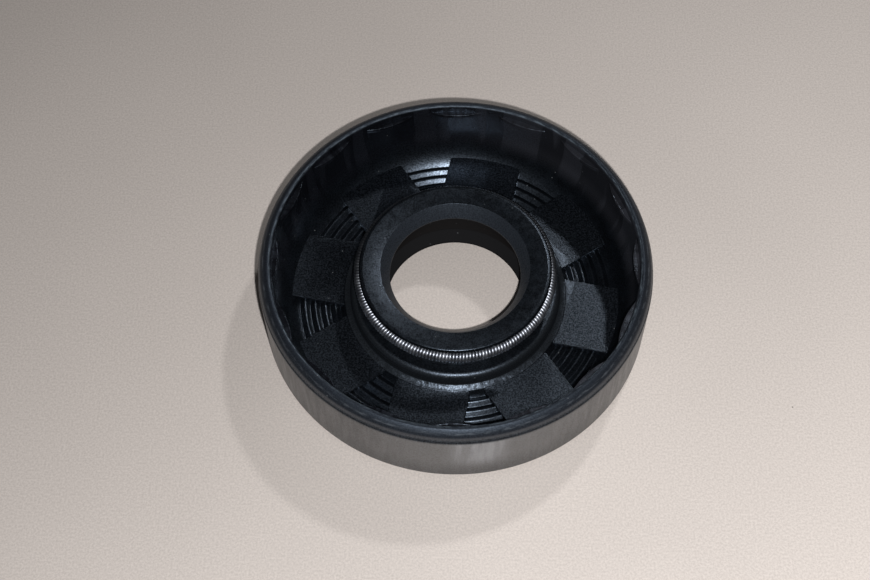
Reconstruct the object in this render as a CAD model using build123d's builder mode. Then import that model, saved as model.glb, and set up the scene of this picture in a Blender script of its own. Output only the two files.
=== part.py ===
from build123d import *
import os
from math import cos, sin, radians

# Radial shaft seal with a rubber-covered case, a sprung sealing lip and a dust lip.
# Millimetres. The seal stands on its air side: the base face lies on Z = 0, the axis is +Z
# and the spring side looks up. Sections are drawn as radius against height.

# ---- Driving dimensions -----------------------------------------------------------------
OUTER_D = 42.0  # housing bore that the cover is pressed into
WIDTH = 10.0  # overall axial width
LIP_D = 14.1  # free diameter of the sealing lip, for a 15 mm shaft
DUST_LIP_D = 15.2  # free diameter of the dust lip

# Cover and rim
BASE_CHAMFER_R = 0.5  # lead-in chamfer at the base, radial
BASE_CHAMFER_Z = 0.9  # lead-in chamfer at the base, axial
RIM_START_Z = 8.2  # where the outer wall begins to round in to the rim
RIM_LOW_R = 20.78
RIM_LOW_Z = 9.1
RIM_HIGH_R = 20.32
RIM_HIGH_Z = 9.7
CREST_R = 19.87
RIM_INNER_CHAMFER = 0.37

# Foot of the inner wall, a large hollow curve down to the ribbed floor
FOOT_TOP_Z = 6.2
FOOT_RADIUS = 5.6
FOOT_SWEEP = 55.1  # degrees
FOOT_CHORDS = 3

# Ribbed floor, seen between the pads
RIB_COUNT = 4
RIB_PITCH = 1.1
RIB_HEIGHT = 0.32
RIB_OUTER_FLANK = 0.45  # radial run of the flank that looks at the wall

# Raised radial pads
PAD_COUNT = 8
PAD_WIDTH = 8.1
PAD_TOP_Z = 2.3
PAD_ROOT_R = 11.6  # buried in the hub
PAD_END_R = 18.6  # buried in the wall foot
PAD_PHASE = 33.75  # degrees, midway between two lobes

# Half-moon lobes round the top of the inner wall
LOBE_COUNT = 16
LOBE_HALF_ANGLE = 8.3  # degrees from the middle of a lobe to its tip
LOBE_REACH_R = 18.85  # innermost point of a lobe
LOBE_TOP_Z = 9.15
LOBE_FACE_Z = 8.65  # lower edge of the upright lobe face
LOBE_FOOT_Z = 8.0  # where the lobe has run out into the wall
LOBE_ROOT_R = 20.0  # buried in the wall

# Hub, shoulder and waist
HUB_R = 11.42
HUB_FOOT_CHAMFER = 0.4
SHOULDER_R = 11.25  # top of the hub's side, which leans in a little
SHOULDER_Z = 3.6
SHOULDER_CHAMFER = 0.35
WAIST_R = 9.85  # inner end of the nearly flat ledge, where the lip is thinnest
WAIST_Z = 4.15

# Garter spring and its groove, both five-sided in section with their flats side by side
SPRING_R = 10.3  # radius of the circle through the centres of its turns
SPRING_Z = 6.75
COIL_D = 1.4
SPRING_TURNS = 190
TURNS_PER_RUN = 10
COIL_VALLEY = 0.09  # depth of the valley between neighbouring turns
COIL_SIDES = 5
COIL_TURN = -18.0  # degrees, so that the coil rests on a flat
GROOVE_RADIUS = 0.706
GROOVE_START = -54.0  # degrees, the outer edge of the shelf under the spring
GROOVE_END = -270.0  # degrees, straight above the spring's centre
GROOVE_CHORDS = 3

# Nose and sealing lip
NOSE_FLANK_R = 10.26  # outer edge of the nose, above the spring
NOSE_FLANK_Z = 7.72
NOSE_OUTER_R = 9.92
NOSE_OUTER_Z = 8.0
NOSE_INNER_R = 8.0
NOSE_INNER_Z = 7.9
LIP_BAND_TOP_Z = 6.35
LIP_BAND_LOW_Z = 6.15

# Air side, grease chamber and dust lip
DUST_ROOT_R = 8.5  # lower end of the conical air-side face
DUST_ROOT_Z = 1.5
DUST_TIP_TOP_Z = 0.6
DUST_TIP_LOW_Z = 0.2
NOTCH_R = 9.15
NOTCH_Z = 1.1
BASE_INNER_R = 9.9

# Stiffening ring, L-section sheet steel buried in the rubber
SHEET = 0.7
RING_OUTER_R = 20.55
RING_TOP_Z = 8.6
RING_BASE_Z = 0.45
FLANGE_INNER_R = 11.1
BEND_CHAMFER = 0.6  # outside of the bend

# Worked out from the above
OUTER_R = OUTER_D / 2
LIP_R = LIP_D / 2
DUST_LIP_R = DUST_LIP_D / 2
COIL_R = COIL_D / 2
INNER_WALL_R = CREST_R - RIM_INNER_CHAMFER


def rounded(centre_r, centre_z, radius, start, end, chords):
    """Points of a round stretch of a section, from one angle to another in degrees."""
    points = []
    for step in range(chords + 1):
        angle = radians(start + (end - start) * step / chords)
        points.append((centre_r + radius * cos(angle), centre_z + radius * sin(angle)))
    return points


# ---- Stiffening ring --------------------------------------------------------------------
with BuildPart() as stiffening_ring:
    with BuildSketch(Plane.XZ):
        with BuildLine():
            Polyline(
                (FLANGE_INNER_R, RING_BASE_Z),
                (RING_OUTER_R - BEND_CHAMFER, RING_BASE_Z),
                (RING_OUTER_R, RING_BASE_Z + BEND_CHAMFER),
                (RING_OUTER_R, RING_TOP_Z),
                (RING_OUTER_R - SHEET, RING_TOP_Z),
                (RING_OUTER_R - SHEET, RING_BASE_Z + SHEET),
                (FLANGE_INNER_R, RING_BASE_Z + SHEET),
                close=True,
            )
        make_face()
    revolve(axis=Axis.Z)

# ---- One pad and one lobe ---------------------------------------------------------------
with BuildPart() as pad:
    with BuildSketch(Plane.XY.offset(RING_BASE_Z)):
        with Locations(((PAD_ROOT_R + PAD_END_R) / 2, 0)):
            Rectangle(PAD_END_R - PAD_ROOT_R, PAD_WIDTH)
    extrude(amount=PAD_TOP_Z - RING_BASE_Z)

# A lobe is the part of an upright cylinder that stands proud of the wall
lobe_tip_x = INNER_WALL_R * cos(radians(LOBE_HALF_ANGLE))
lobe_tip_y = INNER_WALL_R * sin(radians(LOBE_HALF_ANGLE))
lobe_rise = lobe_tip_x - LOBE_REACH_R
lobe_radius = (lobe_tip_y**2 + lobe_rise**2) / (2 * lobe_rise)
lobe_proud = INNER_WALL_R - LOBE_REACH_R

with BuildPart() as lobe:
    with BuildSketch(Plane.XY.offset(LOBE_FACE_Z)):
        with Locations((LOBE_REACH_R + lobe_radius, 0)):
            Circle(lobe_radius)
    extrude(amount=LOBE_TOP_Z - LOBE_FACE_Z)
    with BuildSketch(Plane.XY.offset(LOBE_FACE_Z)):
        with Locations((LOBE_REACH_R + lobe_radius, 0)):
            Circle(lobe_radius)
    with BuildSketch(Plane.XY.offset(LOBE_FOOT_Z)):
        with Locations((LOBE_REACH_R + lobe_radius, 0)):
            Circle(lobe_radius - lobe_proud)
    loft()
    with BuildSketch(Plane.XY):
        Circle(LOBE_ROOT_R)
    extrude(amount=WIDTH, mode=Mode.INTERSECT)

# ---- Rubber body ------------------------------------------------------------------------
# The stretches of the section, in order round it
base = [
    (BASE_INNER_R, 0),
    (OUTER_R - BASE_CHAMFER_R, 0),
    (OUTER_R, BASE_CHAMFER_Z),
]
outer_rim = [
    (OUTER_R, RIM_START_Z),
    (RIM_LOW_R, RIM_LOW_Z),
    (RIM_HIGH_R, RIM_HIGH_Z),
]
inner_rim = [
    (CREST_R, WIDTH),
    (INNER_WALL_R, WIDTH - RIM_INNER_CHAMFER),
]
foot = rounded(INNER_WALL_R - FOOT_RADIUS, FOOT_TOP_Z, FOOT_RADIUS, 0, -FOOT_SWEEP, FOOT_CHORDS)

outer_groove_r, floor_z = foot[-1]
ribs = []
for rib in range(RIB_COUNT):
    rib_outer_r = outer_groove_r - rib * RIB_PITCH
    ribs += [
        (rib_outer_r - RIB_OUTER_FLANK, floor_z + RIB_HEIGHT),
        (rib_outer_r - RIB_PITCH, floor_z),
    ]

hub = [
    (HUB_R + HUB_FOOT_CHAMFER, PAD_TOP_Z),
    (HUB_R, PAD_TOP_Z + HUB_FOOT_CHAMFER),
    (SHOULDER_R, SHOULDER_Z),
    (SHOULDER_R - SHOULDER_CHAMFER, SHOULDER_Z + SHOULDER_CHAMFER),
    (WAIST_R, WAIST_Z),
]
groove = rounded(SPRING_R, SPRING_Z, GROOVE_RADIUS, GROOVE_START, GROOVE_END, GROOVE_CHORDS)
nose = [
    (NOSE_FLANK_R, NOSE_FLANK_Z),
    (NOSE_OUTER_R, NOSE_OUTER_Z),
    (NOSE_INNER_R, NOSE_INNER_Z),
]
sealing_lip = [
    (LIP_R, LIP_BAND_TOP_Z),
    (LIP_R, LIP_BAND_LOW_Z),
]
dust_lip = [
    (DUST_ROOT_R, DUST_ROOT_Z),
    (DUST_LIP_R, DUST_TIP_TOP_Z),
    (DUST_LIP_R, DUST_TIP_LOW_Z),
    (NOTCH_R, NOTCH_Z),
]

with BuildPart() as rubber_body:
    with BuildSketch(Plane.XZ):
        with BuildLine():
            outside = base + outer_rim + inner_rim
            trough = foot + ribs + hub
            lip = groove + nose + sealing_lip + dust_lip
            Polyline(*outside, *trough, *lip, close=True)
        make_face()
    revolve(axis=Axis.Z)
    with PolarLocations(0, PAD_COUNT, start_angle=PAD_PHASE):
        add(pad.part)
    with PolarLocations(0, LOBE_COUNT):
        add(lobe.part)
    add(stiffening_ring.part, mode=Mode.SUBTRACT)

# ---- Garter spring ----------------------------------------------------------------------
# A run of turns, drawn as sections that swell at each turn and shrink between two turns
with BuildPart() as spring_run:
    for half_turn in range(2 * TURNS_PER_RUN + 1):
        angle = radians(half_turn * 180 / SPRING_TURNS)
        valley = COIL_VALLEY if half_turn % 2 == 0 else 0
        section_plane = Plane(
            origin=(SPRING_R * cos(angle), SPRING_R * sin(angle), SPRING_Z),
            x_dir=(cos(angle), sin(angle), 0),
            z_dir=(-sin(angle), cos(angle), 0),
        )
        with BuildSketch(section_plane):
            RegularPolygon(COIL_R - valley, COIL_SIDES, rotation=COIL_TURN)
    loft(ruled=True)

with BuildPart() as garter_spring:
    with PolarLocations(0, SPRING_TURNS // TURNS_PER_RUN):
        add(spring_run.part)

# ---- Write the pieces -------------------------------------------------------------------
rubber_body.part.label = "rubber_body"
stiffening_ring.part.label = "stiffening_ring"
garter_spring.part.label = "garter_spring"

os.makedirs("parts", exist_ok=True)
export_step(rubber_body.part, "parts/rubber_body.step")
export_step(stiffening_ring.part, "parts/stiffening_ring.step")
export_step(garter_spring.part, "parts/garter_spring.step")
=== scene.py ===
import math
import bmesh
import bpy
import numpy as np
from mathutils import Matrix, Vector


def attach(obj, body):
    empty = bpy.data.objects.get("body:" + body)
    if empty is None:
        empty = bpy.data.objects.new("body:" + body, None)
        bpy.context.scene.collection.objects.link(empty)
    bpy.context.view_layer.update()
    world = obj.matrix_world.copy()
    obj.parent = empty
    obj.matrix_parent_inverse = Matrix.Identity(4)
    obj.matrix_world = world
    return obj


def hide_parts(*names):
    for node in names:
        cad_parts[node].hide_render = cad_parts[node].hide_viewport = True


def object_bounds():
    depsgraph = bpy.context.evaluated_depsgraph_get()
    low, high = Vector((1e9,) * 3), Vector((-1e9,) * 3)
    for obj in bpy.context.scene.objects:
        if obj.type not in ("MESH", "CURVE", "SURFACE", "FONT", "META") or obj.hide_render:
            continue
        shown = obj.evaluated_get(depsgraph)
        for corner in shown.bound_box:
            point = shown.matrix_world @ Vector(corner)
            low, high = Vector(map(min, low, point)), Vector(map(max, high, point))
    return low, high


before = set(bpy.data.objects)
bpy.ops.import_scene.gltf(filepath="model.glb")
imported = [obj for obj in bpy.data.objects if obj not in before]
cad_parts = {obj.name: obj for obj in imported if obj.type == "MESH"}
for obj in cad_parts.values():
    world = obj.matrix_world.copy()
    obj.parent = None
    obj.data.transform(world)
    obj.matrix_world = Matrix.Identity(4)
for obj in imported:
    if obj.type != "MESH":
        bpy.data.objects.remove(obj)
cad_low, cad_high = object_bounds()

# A radial shaft seal that lies on a pale floor, spring side up. The rubber and the spring get finer
# meshes of their own in place of the CAD solids, and the hidden ring keeps its solid.
# Lengths are in millimetres, and MM turns them into Blender's metres. A point of the section is
# its radius and its height above the floor.
MM = 0.001

# ---- Overall size, from the frame -------------------------------------------------------------
# Rounded to a tenth of a millimetre, because the frame's solids are faceted
OUTER_R = round(cad_high[0] / MM, 1)
WIDTH = round(cad_high[2] / MM, 1)

# ---- Dimensions of the section ----------------------------------------------------------------
# They are the CAD's or within half a millimetre of it. The ribs, the hub and the spring differ
# a little, so that the highlights fall where the photo has them.
BASE_INNER_R = 9.9
BASE_CHAMFER_R = 0.5
BASE_CHAMFER_Z = 0.9

# Rim: one curve from the outer wall up to the crest, and one down to the inner wall. Each has two
# points that pull it.
CREST_R = 19.87
INNER_WALL_R = 19.5
RIM_START = (OUTER_R, 8.1)
RIM_OUTER_PULLS = ((OUTER_R, 9.2), (OUTER_R - 0.5, 9.7))
CREST = (CREST_R + 0.1, WIDTH - 0.03)
RIM_INNER_PULLS = ((CREST_R - 0.05, WIDTH), (INNER_WALL_R, WIDTH - 0.05))
RIM_END = (INNER_WALL_R, 9.6)

# Foot of the inner wall, and the ribbed floor
FOOT_RADIUS = 5.6
FOOT_TOP_Z = 6.2
FOOT_SWEEP = math.radians(55.1)
RIB_COUNT = 4
RIB_PITCH = 1.1
RIB_HEIGHT = 0.43
RIB_OUTER_FLANK = 0.55  # radial run of the flank that looks at the wall

# Hub: a sloping foot, a side that is nearly upright, and a rounded shoulder
HUB_R = 11.42
HUB_FOOT_RUN = 0.8
HUB_FOOT_RISE = 0.38
HUB_LEAN = 0.08  # how far the foot's top stands out from the hub's radius
SHOULDER_R = HUB_R + 0.03
SHOULDER_Z = 4.07
SHOULDER_ROUND = 0.72
WAIST = (9.85, 4.12)

# Nose, sealing lip and dust lip
NOSE_FLANK = (10.34, 7.68)
NOSE_EDGE = (10.18, 7.93)
NOSE_OUTER_R = 9.9
NOSE_Z = 8.0
NOSE_INNER = (8.0, 7.8)
LIP_R = 7.05
LIP_BAND_TOP_Z = 6.33
LIP_BAND_LOW_Z = 6.17
DUST_ROOT = (8.45, 1.9)
DUST_LIP_R = 7.6
DUST_TIP_TOP_Z = 0.6
DUST_TIP_LOW_Z = 0.2
NOTCH = (9.15, 1.1)

# ---- Pads, lobes and spring -------------------------------------------------------------------
PAD_COUNT = 8
PAD_WIDTH = 8.1
PAD_ROOT_R = 11.6  # buried in the hub
PAD_END_R = 18.6  # buried in the wall foot
PAD_BOTTOM_Z = 1.0  # buried under the ribs
PAD_TOP_Z = 2.3
PAD_BEVEL = 0.06
PAD_RAGGED = 0.022  # how far the points of a cut edge stray from its line
PAD_EDGE_POINTS = 36
PAD_PHASE = math.radians(33.75)

LOBE_COUNT = 16
LOBE_HALF_ANGLE = math.radians(8.3)  # from the middle of a lobe to its tip, seen from the axis
LOBE_REACH_R = 18.85  # innermost point of a lobe
LOBE_TOP_Z = 9.15
LOBE_FACE_Z = 8.65  # lower edge of the upright lobe face
LOBE_FOOT_Z = 8.0
LOBE_FACE_LEAN = 0.02  # how far the lower edge of the face is set back
LOBE_BEAD = 0.09  # radius of the bead along the lobe's top edge
LOBE_BACK_R = INNER_WALL_R + 0.6  # buried in the wall
LOBE_SPREAD = math.radians(26)  # half of the stretch of a lobe's cylinder that is made
LOBE_POINTS = 33  # along that stretch

SPRING_R = 10.27  # of the circle that the coil is wound on
SPRING_Z = 6.75
SPRING_TURNS = 190
COIL_R = 0.67
WIRE_R = 0.168
WIRE_STEPS = 18  # along one turn
WIRE_SIDES = 8  # round the wire
GROOVE_R = 0.706
GROOVE_START = math.radians(-54)
GROOVE_END = math.radians(-270)

BODY_SEGMENTS = 360
BODY_SHARP_OVER = 32  # degrees between two faces, from where their edge stays sharp

# ---- Painted light on the rubber --------------------------------------------------------------
OUTER_WALL_TOP_Z = 8.6  # below this height the outer wall is duller, and grey, partly of its own and partly a painted reflection of the floor
WALL_LIGHT_AT = math.radians(277)  # and its painted reflection is palest here
CREST_HIGHLIGHT_R = 19.68  # a painted highlight line inside the crest of the rim
EDGE_HIGHLIGHT_R = 20.38  # and a painted highlight line outside it

# ---- Camera -----------------------------------------------------------------------------------
# Fitted to the photo: a pinhole camera that looks down over the front of the seal at a point on
# its axis, and is then turned a little sideways, up or down, and about its line of sight
IMAGE_W = 870
FOCAL_PX = 1449.48
SENSOR_W = 36.0
ELEVATION = math.radians(60.7396)
DISTANCE = 7.66139 * OUTER_R
TARGET_Z = 0.0425 * OUTER_R
YAW = math.radians(0.794838)
PITCH = math.radians(0.313646)
ROLL = math.radians(-0.388713)

# ---- Stage ------------------------------------------------------------------------------------
FLOOR_HALF = 2000.0  # half of the floor's side
FLOOR_COLOUR = (0.618, 0.557, 0.516)
FLOOR_LIGHT_SLOPE = (0.0026, -0.0012)  # painted light: how the floor's paleness grows per millimetre towards +X and +Y
WORLD_STRENGTH = 0.04  # a faint light from all round


# ---- Mesh helpers -----------------------------------------------------------------------------
def new_object(name, vertices, faces):
    """An object from vertices in millimetres."""
    mesh = bpy.data.meshes.new(name)
    mesh.from_pydata((np.asarray(vertices, float) * MM).tolist(), [], faces)
    mesh.validate()
    mesh.update()
    made = bpy.data.objects.new(name, mesh)
    bpy.context.scene.collection.objects.link(made)
    return made


def shade_smooth(obj, sharp_over):
    """Shades the object smooth, except along edges that bend by more than the given degrees."""
    obj.data.shade_smooth()
    obj.data.set_sharp_from_angle(angle=math.radians(sharp_over))


def arc(centre, radius, start, sweep, step=0.12):
    """Points along a circular arc, after the one it starts from. Angles in radians."""
    count = max(3, math.ceil(abs(sweep) * radius / step))
    angles = [start + sweep * k / count for k in range(1, count + 1)]
    return [(centre[0] + radius * math.cos(a), centre[1] + radius * math.sin(a)) for a in angles]


def bezier(p0, p1, p2, p3, count):
    """Points after p0 along a cubic curve."""
    made = []
    for k in range(1, count + 1):
        t = k / count
        weights = ((1 - t) ** 3, 3 * t * (1 - t) ** 2, 3 * t * t * (1 - t), t**3)
        made.append(tuple(sum(w * p[i] for w, p in zip(weights, (p0, p1, p2, p3))) for i in (0, 1)))
    return made


def softened(point, before, after, radius, count=4):
    """Points of a small curve that replaces the corner at point."""
    p, a, b = (np.array(v, float) for v in (point, before, after))
    u = (a - p) / np.linalg.norm(a - p)
    v = (b - p) / np.linalg.norm(b - p)
    half = math.acos(max(-1.0, min(1.0, float(u @ v)))) / 2
    cut = min(radius / math.tan(half), 0.45 * np.linalg.norm(a - p), 0.45 * np.linalg.norm(b - p))
    return [
        tuple((1 - t) ** 2 * (p + cut * u) + 2 * t * (1 - t) * p + t * t * (p + cut * v))
        for t in (k / count for k in range(count + 1))
    ]


class Section:
    """A closed section whose corners can be softened to a radius."""

    def __init__(self, start):
        self.points = [(start, 0.0)]

    @property
    def last(self):
        return self.points[-1][0]

    def to(self, point, soft=0.0):
        self.points.append((point, soft))

    def along(self, points, soft=0.0):
        """Goes on through the points and softens the corner at the last one."""
        self.points += [(p, 0.0) for p in points[:-1]]
        self.points.append((points[-1], soft))

    def outline(self):
        made = []
        count = len(self.points)
        for k, (p, soft) in enumerate(self.points):
            if soft:
                before = self.points[k - 1][0]
                after = self.points[(k + 1) % count][0]
                made += softened(p, before, after, soft)
            else:
                made.append(p)
        return made


def revolved(outline, segments):
    """Vertices and faces of the closed outline turned about the axis."""
    ring = np.array(outline, float)
    count = len(ring)
    angles = np.linspace(0, 2 * math.pi, segments, endpoint=False)
    vertices = np.empty((segments, count, 3))
    vertices[:, :, 0] = np.cos(angles)[:, None] * ring[None, :, 0]
    vertices[:, :, 1] = np.sin(angles)[:, None] * ring[None, :, 0]
    vertices[:, :, 2] = ring[None, :, 1]
    faces = []
    for s in range(segments):
        t = (s + 1) % segments
        for k in range(count):
            m = (k + 1) % count
            faces.append((s * count + k, t * count + k, t * count + m, s * count + m))
    return vertices.reshape(-1, 3), faces


def stacked(rings):
    """Vertices and faces of a closed block from outlines of one length that lie above one another."""
    n = len(rings[0])
    vertices = [point for ring in rings for point in ring]
    faces = [tuple(range(n))[::-1], tuple(range(len(vertices) - n, len(vertices)))]
    for level in range(len(rings) - 1):
        low, high = level * n, (level + 1) * n
        for k in range(n):
            m = (k + 1) % n
            faces.append((low + k, low + m, high + m, high + k))
    return vertices, faces


def spun(vertices, turn):
    """The vertices turned about the seal's axis."""
    c, s = math.cos(turn), math.sin(turn)
    return [(x * c - y * s, x * s + y * c, z) for x, y, z in vertices]


def face_outward(obj):
    """Makes the faces of a closed mesh look outwards."""
    editable = bmesh.new()
    editable.from_mesh(obj.data)
    bmesh.ops.recalc_face_normals(editable, faces=editable.faces)
    editable.to_mesh(obj.data)
    editable.free()


def unite(base, others):
    """Fuses the other closed meshes into the base, as one closed mesh."""
    collection = bpy.data.collections.new("blocks")
    bpy.context.scene.collection.children.link(collection)
    for other in others:
        face_outward(other)
        bpy.context.scene.collection.objects.unlink(other)
        collection.objects.link(other)
    face_outward(base)
    modifier = base.modifiers.new("union", "BOOLEAN")
    modifier.operation = "UNION"
    modifier.operand_type = "COLLECTION"
    modifier.collection = collection
    modifier.solver = "MANIFOLD"
    evaluated = base.evaluated_get(bpy.context.evaluated_depsgraph_get())
    mesh = bpy.data.meshes.new_from_object(evaluated)
    base.modifiers.clear()
    mesh.materials.clear()  # so that the piece's own material comes first
    mesh.polygons.foreach_set("material_index", [0] * len(mesh.polygons))
    base.data = mesh
    for other in others:
        bpy.data.objects.remove(other)
    bpy.data.collections.remove(collection)


# ---- Rubber body ------------------------------------------------------------------------------
def add_cover(s):
    """The outer wall with its lead-in chamfer, and the rounded rim."""
    s.to((OUTER_R - BASE_CHAMFER_R, 0.0), soft=0.12)
    s.to((OUTER_R, BASE_CHAMFER_Z), soft=0.15)
    s.to(RIM_START)
    s.along(bezier(RIM_START, *RIM_OUTER_PULLS, CREST, count=16))
    s.along(bezier(CREST, *RIM_INNER_PULLS, RIM_END, count=10))


def add_trough(s):
    """The inner wall, its hollow foot and the concentric ribs."""
    s.to((INNER_WALL_R, FOOT_TOP_Z))
    foot_centre = (INNER_WALL_R - FOOT_RADIUS, FOOT_TOP_Z)
    s.along(arc(foot_centre, FOOT_RADIUS, 0, -FOOT_SWEEP), soft=0.04)
    outer_groove, floor_z = s.last
    for rib in range(RIB_COUNT):
        r = outer_groove - rib * RIB_PITCH
        s.to((r - RIB_OUTER_FLANK, floor_z + RIB_HEIGHT), soft=0.24)
        s.to((r - RIB_PITCH, floor_z), soft=0.09)


def add_hub(s):
    """The hub from its foot between the pads to the ledge that runs in to the waist."""
    s.to((HUB_R + HUB_FOOT_RUN, PAD_TOP_Z - 0.02), soft=0.05)  # just under the pads' tops
    s.to((HUB_R + HUB_LEAN, PAD_TOP_Z + HUB_FOOT_RISE), soft=0.15)
    shoulder_centre = (SHOULDER_R - SHOULDER_ROUND, SHOULDER_Z - SHOULDER_ROUND)
    s.to((SHOULDER_R, SHOULDER_Z - SHOULDER_ROUND))
    s.along(arc(shoulder_centre, SHOULDER_ROUND, 0, math.radians(90), step=0.05))
    s.to(WAIST)


def add_lip(s):
    """The lip head with the spring's groove, the nose, the sealing lip and the dust lip."""
    groove_r = SPRING_R + GROOVE_R * math.cos(GROOVE_START)
    groove_z = SPRING_Z + GROOVE_R * math.sin(GROOVE_START)
    s.to((groove_r, groove_z), soft=0.06)
    s.along(arc((SPRING_R, SPRING_Z), GROOVE_R, GROOVE_START, GROOVE_END - GROOVE_START), soft=0.03)
    s.to(NOSE_FLANK, soft=0.08)
    s.to(NOSE_EDGE, soft=0.14)
    s.to((NOSE_OUTER_R, NOSE_Z), soft=0.1)
    s.to(NOSE_INNER, soft=0.04)
    s.to((LIP_R, LIP_BAND_TOP_Z), soft=0.03)
    s.to((LIP_R, LIP_BAND_LOW_Z), soft=0.03)
    s.to(DUST_ROOT, soft=0.3)
    s.to((DUST_LIP_R, DUST_TIP_TOP_Z), soft=0.05)
    s.to((DUST_LIP_R, DUST_TIP_LOW_Z), soft=0.05)
    s.to(NOTCH, soft=0.1)


def rubber_outline():
    """The section of the rubber without pads and lobes, in order round it."""
    s = Section((BASE_INNER_R, 0.0))
    add_cover(s)
    add_trough(s)
    add_hub(s)
    add_lip(s)
    return s.outline()


def pad_block(index, random):
    """One raised pad with slightly ragged cut edges. Its ends are buried in the hub and the wall foot."""
    half = PAD_WIDTH / 2
    xs = np.linspace(PAD_ROOT_R, PAD_END_R, PAD_EDGE_POINTS)
    ragged = [random.normal(0, PAD_RAGGED, PAD_EDGE_POINTS) for _ in range(2)]
    rings = []
    for z, inset in ((PAD_BOTTOM_Z, 0.0), (PAD_TOP_Z - PAD_BEVEL, 0.0), (PAD_TOP_Z, PAD_BEVEL)):
        right = [(x, -half + inset + shift, z) for x, shift in zip(xs, ragged[0])]
        left = [(x, half - inset - shift, z) for x, shift in zip(xs[::-1], ragged[1])]
        rings.append(right + left)
    vertices, faces = stacked(rings)
    turn = PAD_PHASE + math.radians(index * 360 / PAD_COUNT)
    return new_object("pad_block", spun(vertices, turn), faces)


def lobe_block(index):
    """One half-moon lobe of the inner wall: an upright cylinder that runs out downwards."""
    tip_x = INNER_WALL_R * math.cos(LOBE_HALF_ANGLE)
    tip_y = INNER_WALL_R * math.sin(LOBE_HALF_ANGLE)
    rise = tip_x - LOBE_REACH_R
    radius = (tip_y**2 + rise**2) / (2 * rise)
    centre = LOBE_REACH_R + radius
    proud = INNER_WALL_R - LOBE_REACH_R
    angles = np.linspace(math.pi - LOBE_SPREAD, math.pi + LOBE_SPREAD, LOBE_POINTS)
    levels = [(LOBE_FOOT_Z, proud), (LOBE_FACE_Z, LOBE_FACE_LEAN)]
    for k in range(6):
        roll = math.radians(30 * k)  # round the bead, from the face over the top and down behind it
        z = LOBE_TOP_Z - LOBE_BEAD * (1 - math.sin(roll))
        levels.append((z, LOBE_BEAD * (1 - math.cos(roll))))
    rings = []
    for z, inset in levels:
        r = radius - inset
        back = LOBE_BACK_R - inset / 2
        edge = r * math.sin(LOBE_SPREAD)
        around = [(centre + r * math.cos(a), r * math.sin(a)) for a in angles]
        around += [(back, -edge), (back, edge)]
        rings.append([(x, y, z) for x, y in around])
    vertices, faces = stacked(rings)
    return new_object("lobe_block", spun(vertices, math.radians(index * 360 / LOBE_COUNT)), faces)


def make_rubber():
    random = np.random.default_rng(seed=7)
    vertices, faces = revolved(rubber_outline(), BODY_SEGMENTS)
    body = new_object("rubber_skin", vertices, faces)
    pads = [pad_block(k, random) for k in range(PAD_COUNT)]
    lobes = [lobe_block(k) for k in range(LOBE_COUNT)]
    unite(body, pads + lobes)
    shade_smooth(body, sharp_over=BODY_SHARP_OVER)
    return body


# ---- Spring -----------------------------------------------------------------------------------
def coil_point(theta, phi, radius):
    """Points at a radius from the circle that the coil is wound on: theta goes round the seal, phi
    round the coil."""
    r = SPRING_R + radius * np.cos(phi)
    return np.stack([r * np.cos(theta), r * np.sin(theta), SPRING_Z + radius * np.sin(phi)], -1)


def make_spring():
    """The wire as a tube along a helix that is bent into a closed ring."""
    count = SPRING_TURNS * WIRE_STEPS
    t = np.arange(count) / count
    theta = 2 * math.pi * t
    phi = 2 * math.pi * SPRING_TURNS * t
    coil = COIL_R - WIRE_R
    eps = 1e-5  # a small step along the wire, which gives its direction
    turn = eps / SPRING_TURNS
    tangent = coil_point(theta + turn, phi + eps, coil) - coil_point(theta - turn, phi - eps, coil)
    tangent /= np.linalg.norm(tangent, axis=1)[:, None]
    middle = coil_point(theta, phi, coil)
    away = middle - coil_point(theta, phi, 0.0)
    away -= (away * tangent).sum(1)[:, None] * tangent
    away /= np.linalg.norm(away, axis=1)[:, None]
    side = np.cross(tangent, away)
    round_wire = []
    for k in range(WIRE_SIDES):
        a = 2 * math.pi * k / WIRE_SIDES
        round_wire.append(middle + WIRE_R * (math.cos(a) * away + math.sin(a) * side))
    vertices = np.stack(round_wire, 1).reshape(-1, 3)
    faces = []
    for n in range(count):
        here, there = n * WIRE_SIDES, (n + 1) % count * WIRE_SIDES
        for k in range(WIRE_SIDES):
            j = (k + 1) % WIRE_SIDES
            faces.append((here + k, there + k, there + j, here + j))
    wire = new_object("spring_wire", vertices, faces)
    shade_smooth(wire, sharp_over=180)
    return wire


# ---- Material helper --------------------------------------------------------------------------
def socket_value(value):
    """A colour gets its alpha, and a number or an output stays as it is."""
    return (*value, 1) if isinstance(value, tuple) else value


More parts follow.
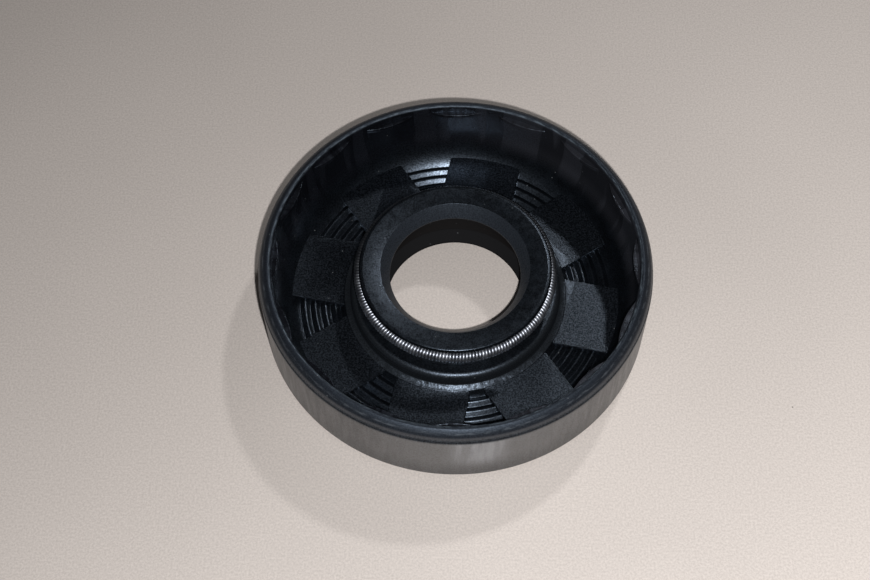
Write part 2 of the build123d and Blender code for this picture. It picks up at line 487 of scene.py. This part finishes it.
class Graph:
    """A material's nodes. Each method adds a node and returns its output; places are in millimetres."""

    def __init__(self, name):
        self.material = bpy.data.materials.new(name)
        self.material.use_nodes = True
        self.tree = self.material.node_tree
        self.shader = self.tree.nodes["Principled BSDF"]
        where = self.tree.nodes.new("ShaderNodeTexCoord").outputs["Object"]
        self.place = self.scaled(where, 1 / MM)
        self.x, self.y, self.z = self.parts(self.place)
        x_squared = self.math("MULTIPLY", self.x, self.x)
        y_squared = self.math("MULTIPLY", self.y, self.y)
        self.radius = self.math("SQRT", self.math("ADD", x_squared, y_squared))
        self.angle = self.math("ARCTAN2", self.y, self.x)

    def put(self, socket, value):
        """Links an output to the socket, or sets the socket to a value."""
        if isinstance(value, bpy.types.NodeSocket):
            self.tree.links.new(value, socket)
        else:
            socket.default_value = value

    def math(self, operation, *values):
        node = self.tree.nodes.new("ShaderNodeMath")
        node.operation = operation
        for socket, value in zip(node.inputs, values):
            self.put(socket, value)
        return node.outputs[0]

    def scaled(self, vector, factor):
        node = self.tree.nodes.new("ShaderNodeVectorMath")
        node.operation = "SCALE"
        self.put(node.inputs[0], vector)
        self.put(node.inputs["Scale"], factor)
        return node.outputs[0]

    def parts(self, vector):
        node = self.tree.nodes.new("ShaderNodeSeparateXYZ")
        self.put(node.inputs[0], vector)
        return node.outputs

    def vector(self, *values):
        node = self.tree.nodes.new("ShaderNodeCombineXYZ")
        for socket, value in zip(node.inputs, values):
            self.put(socket, value)
        return node.outputs[0]

    def up(self):
        """How much the surface looks up: one on a level top, zero on an upright wall."""
        geometry = self.tree.nodes.new("ShaderNodeNewGeometry")
        return self.parts(geometry.outputs["Normal"])[2]

    def ramp(self, value, low, high, start=0.0, end=1.0):
        """Runs smoothly from start to end while the value goes from low to high."""
        node = self.tree.nodes.new("ShaderNodeMapRange")
        node.interpolation_type = "SMOOTHSTEP"
        names = ("Value", "From Min", "From Max", "To Min", "To Max")
        for name, given in zip(names, (value, low, high, start, end)):
            self.put(node.inputs[name], given)
        return node.outputs[0]

    def band(self, value, middle, half):
        """Is one at the middle and fades to nothing at the given distance on either side."""
        away = self.math("ABSOLUTE", self.math("SUBTRACT", value, middle))
        return self.ramp(away, half, 0.2 * half)

    def all_of(self, *masks):
        """The product of the masks, which is one only where all of them are."""
        made = masks[0]
        for mask in masks[1:]:
            made = self.math("MULTIPLY", made, mask)
        return made

    def blend(self, factor, a, b):
        """A mix of two plain numbers, which have sockets 2 and 3 of the mix node."""
        node = self.tree.nodes.new("ShaderNodeMix")
        for index, value in ((0, factor), (2, a), (3, b)):
            self.put(node.inputs[index], value)
        return node.outputs[0]

    def colour(self, factor, a, b, mode="MIX"):
        """A mix of two colours in linear RGB, which have sockets 6 and 7 of the mix node."""
        node = self.tree.nodes.new("ShaderNodeMix")
        node.data_type = "RGBA"
        node.blend_type = mode
        for index, value in ((0, factor), (6, a), (7, b)):
            self.put(node.inputs[index], socket_value(value))
        return node.outputs[2]

    def layered(self, mix, base, layers):
        """The base with each layer mixed over it where its mask is one."""
        for mask, layer in layers:
            base = mix(mask, base, layer)
        return base

    def noise(self, vector, scale, detail=2.0, roughness=0.5):
        node = self.tree.nodes.new("ShaderNodeTexNoise")
        names = ("Vector", "Scale", "Detail", "Roughness")
        for name, value in zip(names, (vector, scale, detail, roughness)):
            self.put(node.inputs[name], value)
        return node.outputs[0]

    def specks(self, spacing, size, share):
        """Scattered dots: one in each cell of the given spacing, in that share of the cells."""
        node = self.tree.nodes.new("ShaderNodeTexVoronoi")
        self.put(node.inputs["Vector"], self.place)
        self.put(node.inputs["Scale"], 1 / spacing)
        kept = self.ramp(self.parts(node.outputs["Color"])[0], share, share - 0.01)
        near = self.ramp(node.outputs["Distance"], size / spacing, 0.5 * size / spacing)
        return self.all_of(kept, near)

    def bump(self, height):
        """A normal bent by a height in millimetres."""
        node = self.tree.nodes.new("ShaderNodeBump")
        self.put(node.inputs["Height"], height)
        self.put(node.inputs["Distance"], MM)
        return node.outputs[0]

    def finish(self, **inputs):
        for name, value in inputs.items():
            self.put(self.shader.inputs[name.replace("_", " ")], socket_value(value))
        return self.material


# ---- Rubber -----------------------------------------------------------------------------------
class RubberRegions:
    """Masks of the places on the rubber: each is one on its place and zero elsewhere."""

    def __init__(self, g):
        self.pad_tops = g.all_of(
            g.ramp(g.z, PAD_TOP_Z - 0.08, PAD_TOP_Z - 0.02),
            g.ramp(g.z, PAD_TOP_Z + 0.04, PAD_TOP_Z + 0.01),
            g.ramp(g.radius, PAD_ROOT_R + 0.3, PAD_ROOT_R + 0.6),
            g.ramp(g.up(), 0.9, 0.99),
        )
        self.hub = g.all_of(
            g.ramp(g.z, SHOULDER_Z + 0.23, SHOULDER_Z + 0.03),
            g.ramp(g.radius, SHOULDER_R - 0.6, SHOULDER_R - 0.45),
            g.ramp(g.radius, HUB_R + HUB_FOOT_RUN, HUB_R + HUB_FOOT_RUN - 0.1),
        )
        self.hub_foot = g.all_of(self.hub, g.ramp(g.z, PAD_TOP_Z + 1.0, PAD_TOP_Z + 0.7))
        self.wall_foot = g.all_of(
            g.ramp(g.z, FOOT_TOP_Z - 1.2, FOOT_TOP_Z - 2.2),
            g.ramp(g.radius, PAD_END_R - 1.2, PAD_END_R - 0.6),
            g.ramp(g.radius, INNER_WALL_R + 0.3, INNER_WALL_R),
        )
        self.inner_wall = g.all_of(
            g.ramp(g.z, FOOT_TOP_Z - 3.2, FOOT_TOP_Z - 1.2),
            g.ramp(g.radius, PAD_END_R - 0.6, PAD_END_R),
            g.ramp(g.radius, OUTER_R - 0.3, OUTER_R - 0.6),
        )
        self.lobes = g.all_of(
            g.ramp(g.z, LOBE_FACE_Z, LOBE_TOP_Z),
            g.ramp(g.radius, INNER_WALL_R, INNER_WALL_R - 0.06),
        )
        self.rim = g.all_of(
            g.ramp(g.z, WIDTH - 1.1, WIDTH - 0.6),
            g.ramp(g.radius, INNER_WALL_R, INNER_WALL_R + 0.15),
        )
        outside = g.ramp(g.radius, OUTER_R - 0.5, OUTER_R - 0.3)
        self.outer_wall = g.all_of(outside, g.ramp(g.z, OUTER_WALL_TOP_Z + 0.1, OUTER_WALL_TOP_Z - 0.3))
        self.dull_line = g.all_of(outside, g.band(g.z, OUTER_WALL_TOP_Z + 0.15, 0.25))
        # a painted highlight line on the rounding above the outer wall
        self.edge_highlight_line = g.all_of(outside, g.band(g.z, OUTER_WALL_TOP_Z + 0.6, 0.25))
        self.nose = g.all_of(
            g.ramp(g.z, NOSE_Z - 0.3, NOSE_Z - 0.15),
            g.ramp(g.radius, SPRING_R + 0.2, SPRING_R),
        )
        self.lip_top = g.all_of(
            g.ramp(g.z, LIP_BAND_LOW_Z + 0.03, LIP_BAND_TOP_Z - 0.03),
            g.ramp(g.radius, NOSE_INNER[0] + 0.04, NOSE_INNER[0] - 0.02),
        )
        self.air_side = g.all_of(
            g.ramp(g.z, LIP_BAND_TOP_Z - 0.03, LIP_BAND_LOW_Z + 0.03),
            g.ramp(g.radius, NOTCH[0] + 0.15, NOTCH[0] - 0.05),
        )
        self.dust_side = g.all_of(self.air_side, g.ramp(g.z, DUST_ROOT[1] + 0.3, DUST_ROOT[1] - 0.1))


def outer_wall_painted_light(g, upright, streaks):
    """The outer wall, grey and streaked: partly its own ground grey and partly a painted reflection of
    the floor. It has painted light that is palest in front, a painted highlight patch there, and painted
    shade that darkens it towards the base.
    """
    wall_tone_and_light = g.colour(g.ramp(streaks, 0.3, 0.75), (0.078, 0.072, 0.067), (0.103, 0.096, 0.091))
    facing = g.math("COSINE", g.math("SUBTRACT", g.angle, WALL_LIGHT_AT))
    patchy = g.ramp(g.noise(upright, scale=0.9, detail=3.0, roughness=0.6), 0.35, 0.65, 0.35, 1.0)
    painted_highlight_patch = g.all_of(g.ramp(facing, 0.984, 0.9995), g.ramp(g.z, 1.5, 5.5), patchy)
    # Painted reflection: the wall is paler where it faces the front.
    wall_tone_and_light = g.colour(g.ramp(facing, 0.8, 1.0), wall_tone_and_light, (0.135, 0.129, 0.124))
    # A painted highlight patch on the front of the wall.
    wall_tone_and_light = g.colour(painted_highlight_patch, wall_tone_and_light, (0.30, 0.30, 0.31))
    # Painted shade: darker towards the base.
    return g.colour(g.ramp(g.z, 0.5, 5.0), (0.055, 0.050, 0.046), wall_tone_and_light)


def inner_wall_colour(g, facets):
    """The inner wall, with painted light that makes it paler to the right and painted shade on darker
    facets.
    """
    # Painted light: paler to the right.
    right_lit = g.colour(g.ramp(g.x, -8.0, 18.0), (0.0062, 0.0066, 0.0090), (0.026, 0.027, 0.033))
    # Painted shade on the facets.
    facet_shade = g.colour(1.0, right_lit, (0.58, 0.58, 0.58), "MULTIPLY")
    return g.colour(facets, facet_shade, right_lit)


def rubber_colour(g, on, upright, streaks, facets):
    """Black rubber with a slight bloom, grainy pads and dust specks, and over it painted light: a painted
    reflection on the outer wall, painted highlight lines on the rim, and painted light and shade on the
    inner wall and the lip.
    """
    bloom = g.ramp(g.noise(g.place, scale=0.5, detail=4.0, roughness=0.6), 0.4, 0.7)
    rubber = g.colour(bloom, (0.0016, 0.0019, 0.0025), (0.0036, 0.0046, 0.0062))
    rim_length = g.math("MULTIPLY", g.angle, OUTER_R)
    along_rim = g.vector(rim_length, g.math("MULTIPLY", g.radius, 7.0), 0.0)
    # Breaks up the painted highlight lines on the rim into dashes.
    highlight_breaks = g.ramp(g.noise(along_rim, scale=0.9, detail=4.0, roughness=0.65), 0.42, 0.66)
    dusty = g.ramp(g.noise(g.place, scale=6.0, detail=2.0, roughness=0.6), 0.46, 0.68)
    layers = (
        (on.inner_wall, inner_wall_colour(g, facets)),
        (on.outer_wall, outer_wall_painted_light(g, upright, streaks)),
        (on.hub, (0.0085, 0.0098, 0.0115)),
        (on.rim, (0.008, 0.0095, 0.013)),
        # Painted highlights: broken pale lines inside and outside the rim's crest.
        (g.all_of(on.rim, g.band(g.radius, CREST_HIGHLIGHT_R, 0.16), highlight_breaks), (0.085, 0.105, 0.125)),
        (g.all_of(on.rim, g.band(g.radius, EDGE_HIGHLIGHT_R, 0.14), highlight_breaks), (0.055, 0.062, 0.072)),
        # Painted highlight on the rim's outer rounding.
        (on.edge_highlight_line, (0.045, 0.045, 0.048)),
        # Painted light: the cone on top of the lip is paler.
        (on.lip_top, (0.016, 0.019, 0.024)),
        # Painted light: the air side of the lip, which lies in shadow, is lifted.
        (on.air_side, (0.023, 0.022, 0.0225)),
        # Painted shade: the dust lip's side is darker.
        (on.dust_side, (0.014, 0.014, 0.015)),
        (on.pad_tops, g.colour(dusty, (0.0008, 0.0010, 0.0014), (0.009, 0.0105, 0.0135))),
        (g.specks(spacing=1.0, size=0.075, share=0.4), (0.13, 0.14, 0.15)),
    )
    return g.layered(g.colour, rubber, layers)


def rubber_roughness(g, on, streaks, facets):
    """Mottled satin rubber, duller on the rim, the outer wall, the hub and the top of the lip."""
    mottle = g.noise(g.place, scale=1.3, detail=3.0)
    layers = (
        (on.nose, g.ramp(mottle, 0.3, 0.7, 0.26, 0.34)),
        (on.outer_wall, g.ramp(streaks, 0.3, 0.7, 0.42, 0.32)),
        (on.inner_wall, g.ramp(facets, 0.0, 1.0, 0.27, 0.4)),
        (on.hub, 0.36),
        (on.rim, 0.5),
        (on.dull_line, 0.8),
        (on.wall_foot, 0.31),
        (on.pad_tops, g.ramp(g.x, -2.0, 8.0, 0.33, 0.36)),
        (on.lip_top, 0.45),
    )
    return g.layered(g.blend, g.ramp(mottle, 0.3, 0.7, 0.28, 0.34), layers)


def rubber_sheen(g, on, streaks, grain):
    """The specular level: uneven with the grain, low on the lobes and none on the air side."""
    layers = (
        (on.rim, g.ramp(grain, 0.3, 0.7, 0.3, 0.7)),
        (on.lobes, g.ramp(streaks, 0.4, 0.6, 0.08, 0.5)),
        (on.air_side, 0.0),
    )
    return g.layered(g.blend, g.ramp(grain, 0.32, 0.68, 0.2, 1.1), layers)


def rubber_relief(g, on, grain):
    """Fine grain that is deeper on the pads, the rim and the lobes, and a crumpled hub foot."""
    depth = g.layered(g.blend, 0.006, ((on.pad_tops, 0.019), (on.rim, 0.012), (on.lobes, 0.012)))
    crumple_depth = g.blend(on.hub_foot, 0.0, 0.10)
    crumple = g.math("MULTIPLY", g.noise(g.place, scale=1.0), crumple_depth)
    return g.bump(g.math("ADD", g.math("MULTIPLY", grain, depth), crumple))


def rubber_material():
    g = Graph("nitrile_rubber")
    on = RubberRegions(g)
    wall_length = g.math("MULTIPLY", g.angle, OUTER_R)
    upright = g.vector(wall_length, 0.0, g.math("MULTIPLY", g.z, 0.12))
    streaks = g.noise(upright, scale=1.6, detail=5.0, roughness=0.65)
    facets = g.ramp(g.noise(upright, scale=0.5), 0.46, 0.54)
    grain = g.noise(g.place, scale=6.0, detail=3.0, roughness=0.7)
    return g.finish(
        Base_Color=rubber_colour(g, on, upright, streaks, facets),
        Roughness=rubber_roughness(g, on, streaks, facets),
        Normal=rubber_relief(g, on, grain),
        Specular_IOR_Level=rubber_sheen(g, on, streaks, grain),
        Specular_Tint=(0.66, 0.8, 1.0),
    )


# ---- Spring, ring and floor -------------------------------------------------------------------
def spring_material():
    g = Graph("spring_steel")
    oil = g.noise(g.place, scale=1.2, detail=3.0)
    colour = g.colour(g.ramp(oil, 0.35, 0.65), (0.36, 0.38, 0.43), (0.52, 0.54, 0.59))
    far_shade = g.ramp(g.y, -5.0, 3.0)  # the far half is painted darker: painted shade
    colour = g.colour(far_shade, colour, (0.16, 0.17, 0.19))
    roughness = g.ramp(oil, 0.3, 0.7, 0.38, 0.46)
    return g.finish(Base_Color=colour, Roughness=roughness, Metallic=1.0)


def sheet_material():
    g = Graph("sheet_steel")
    drawn = g.vector(g.math("MULTIPLY", g.radius, 6.0), g.angle, g.z)
    rolled = g.noise(drawn, scale=1.0, detail=4.0)
    colour = g.colour(rolled, (0.30, 0.30, 0.31), (0.50, 0.50, 0.50))
    return g.finish(Base_Color=colour, Roughness=g.ramp(rolled, 0.3, 0.7, 0.3, 0.5), Metallic=1.0)


def floor_material():
    """Matt paper with grain and specks, with painted light that makes it paler towards the front right
    and away from the seal.
    """
    g = Graph("floor")
    # Painted light: paler towards the front right.
    slope_x = g.math("MULTIPLY", g.x, FLOOR_LIGHT_SLOPE[0])
    slope_y = g.math("MULTIPLY", g.y, FLOOR_LIGHT_SLOPE[1])
    light_slope = g.ramp(g.math("ADD", slope_x, slope_y), -0.5, 0.5, -0.5, 0.5)
    level = g.math("ADD", light_slope, 1.0)
    grain = g.ramp(g.noise(g.place, scale=4.5, detail=2.0, roughness=0.7), 0.25, 0.75, 0.88, 1.12)
    patches = g.ramp(g.noise(g.place, scale=0.03, detail=3.0), 0.3, 0.7, 0.98, 1.02)
    # Painted light: paler away from the seal.
    far_light = g.ramp(g.radius, 28.0, 62.0, 1.0, 1.11)
    grain_and_light = g.all_of(level, grain, patches, far_light)
    colour = g.colour(1.0, FLOOR_COLOUR, g.vector(grain_and_light, grain_and_light, grain_and_light), "MULTIPLY")
    colour = g.colour(g.specks(spacing=4.0, size=0.12, share=0.12), colour, (0.16, 0.14, 0.12))
    return g.finish(Base_Color=colour, Roughness=0.65)


# ---- Camera, light and stage ------------------------------------------------------------------
def turned(vector, axis, angle):
    return Matrix.Rotation(angle, 3, axis) @ vector


def make_camera():
    target = Vector((0, 0, TARGET_Z))
    offset = DISTANCE * Vector((0, -math.cos(ELEVATION), math.sin(ELEVATION)))
    forward = -offset.normalized()
    right = Vector((1, 0, 0))
    up = right.cross(forward)
    forward, right = turned(forward, up, YAW), turned(right, up, YAW)
    forward, up = turned(forward, right, PITCH), turned(up, right, PITCH)
    right, up = turned(right, forward, ROLL), turned(up, forward, ROLL)
    data = bpy.data.cameras.new("camera")
    data.sensor_width = SENSOR_W
    data.lens = SENSOR_W * FOCAL_PX / IMAGE_W
    data.clip_start, data.clip_end = 0.01, 10  # metres
    camera = bpy.data.objects.new("camera", data)
    bpy.context.scene.collection.objects.link(camera)
    facing = Matrix((right, up, -forward)).transposed().to_4x4()
    camera.matrix_world = Matrix.Translation((target + offset) * MM) @ facing
    bpy.context.scene.camera = camera


def make_lamp(name, azimuth, elevation, distance, size, power):
    """A round lamp that looks at the seal. Its angles are in degrees, the azimuth from +X towards
    +Y, its distance and size in metres and its power in watts."""
    a, e = math.radians(azimuth), math.radians(elevation)
    place = distance * Vector((math.cos(a) * math.cos(e), math.sin(a) * math.cos(e), math.sin(e)))
    data = bpy.data.lights.new(name, "AREA")
    data.shape = "DISK"
    data.size = size
    data.energy = power
    lamp = bpy.data.objects.new(name, data)
    bpy.context.scene.collection.objects.link(lamp)
    lamp.location = place
    lamp.rotation_euler = (-place).to_track_quat("-Z", "Y").to_euler()


def make_floor():
    s = FLOOR_HALF
    floor = new_object("floor", [(-s, -s, 0), (s, -s, 0), (s, s, 0), (-s, s, 0)], [(0, 1, 2, 3)])
    floor.data.materials.append(floor_material())


def make_world():
    world = bpy.data.worlds.new("world")
    bpy.context.scene.world = world
    world.use_nodes = True
    background = world.node_tree.nodes["Background"]
    background.inputs["Color"].default_value = (1, 1, 1, 1)
    background.inputs["Strength"].default_value = WORLD_STRENGTH


# ---- The scene --------------------------------------------------------------------------------
def dress(piece, node, material):
    """Puts a piece in the place of a CAD node, with its material."""
    piece.data.materials.append(material)
    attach(piece, "root")
    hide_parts(node)


bpy.context.scene.view_settings.view_transform = "Standard"
make_camera()
make_world()
make_lamp("lamp_back_right", azimuth=60.3, elevation=48.8, distance=0.6, size=0.04, power=0.72)
make_lamp("lamp_near_camera", azimuth=273.3, elevation=59.0, distance=0.15, size=0.003, power=0.181)
make_floor()
dress(make_rubber(), "rubber_body", rubber_material())
dress(make_spring(), "garter_spring", spring_material())
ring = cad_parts["stiffening_ring"]
ring.data.materials.clear()
ring.data.materials.append(sheet_material())
